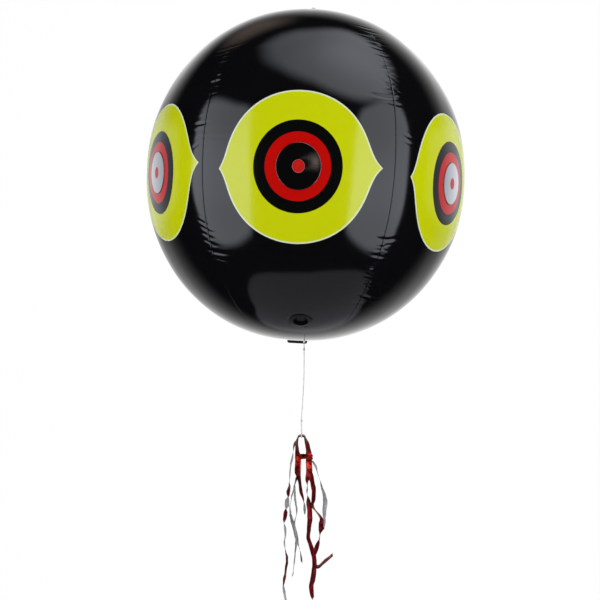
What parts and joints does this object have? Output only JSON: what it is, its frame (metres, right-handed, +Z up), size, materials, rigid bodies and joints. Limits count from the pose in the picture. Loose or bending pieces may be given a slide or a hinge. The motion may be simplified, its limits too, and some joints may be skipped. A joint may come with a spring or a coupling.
{
  "type": "bird scare balloon",
  "caption": "Round black PVC balloon of welded panels with printed scare eyes and foil pupils, an inflation valve, a top hanging eye and a foil ribbon tassel on a string.",
  "frame": {"origin": "centre of the hanging eye in the tab on top of the balloon", "axes": "+Z up along the balloon's axis, -Y out through the middle eye of the front panel, +X to the right seen from the front"},
  "size_m": [0.404, 0.397, 0.7676],
  "materials": {
    "black_film": "glossy printed PVC film",
    "black_soft_pvc": "soft moulded PVC",
    "silver_foil": "mirror-bright metallised film",
    "red_foil": "metallised ribbon film, red on one side and silver on the other",
    "white_string": "twisted white string"
  },
  "bodies": {
    "balloon": {"panel_1": "black_film", "panel_2": "black_film", "panel_3": "black_film", "panel_4": "black_film", "panel_5": "black_film", "panel_6": "black_film", "pupil_1": "silver_foil", "pupil_2": "silver_foil", "pupil_3": "silver_foil", "pupil_4": "silver_foil", "pupil_5": "silver_foil", "pupil_6": "silver_foil", "top_patch": "black_soft_pvc", "bottom_patch": "black_soft_pvc", "hang_tab": "black_soft_pvc", "bottom_tab": "black_soft_pvc", "valve_seat": "black_soft_pvc"},
    "valve_stem": {"valve_stem": "black_soft_pvc", "valve_strap": "black_soft_pvc"},
    "valve_plug": {"valve_plug": "black_soft_pvc"},
    "valve_flap": {"valve_flap": "black_soft_pvc"},
    "string_loop": {"tab_loop": "white_string", "tab_knot": "white_string"},
    "tail_string": {"tail_string": "white_string"},
    "string_end": {"end_knot": "white_string", "end_loop": "white_string"},
    "tassel": {"ribbon_1": "red_foil", "ribbon_2": "red_foil", "ribbon_3": "red_foil", "ribbon_4": "red_foil", "ribbon_band": "red_foil"}
  },
  "joints": [
    {"name": "string_side_swing", "type": "hinge", "parent": "balloon", "child": "string_loop", "pos_m": [0.009, 0, -0.4229], "axis": [0, 1, 0], "range_deg": [-60, 60]},
    {"name": "string_fore_aft_swing", "type": "hinge", "parent": "string_loop", "child": "tail_string", "pos_m": [0.00946, 0, -0.43239], "axis": [0.9988, 0, 0.0488], "range_deg": [-70, 70]},
    {"name": "tassel_spin", "type": "hinge", "parent": "tail_string", "child": "string_end", "pos_m": [0.01073, 0, -0.52584], "axis": [-0.0488, 0, 0.9988], "continuous": true},
    {"name": "tassel_swing", "type": "hinge", "parent": "string_end", "child": "tassel", "pos_m": [0.01178, 0, -0.54731], "axis": [0, 1, 0], "range_deg": [-50, 50]},
    {"name": "valve_stem_slide", "type": "slide", "parent": "balloon", "child": "valve_stem", "axis": [0.0348, -0.5634, -0.8255], "range_m": [0, 0.011]},
    {"name": "valve_plug_pull", "type": "slide", "parent": "valve_stem", "child": "valve_plug", "axis": [0.0348, -0.5634, -0.8255], "range_m": [0, 0.009]},
    {"name": "valve_flap_swing", "type": "hinge", "parent": "valve_stem", "child": "valve_flap", "pos_m": [0.00337, -0.10712, -0.37186], "axis": [0.0576, -0.8235, 0.5644], "range_deg": [0, 60], "stiffness_Nm_per_rad": 0.0002}
  ]
}
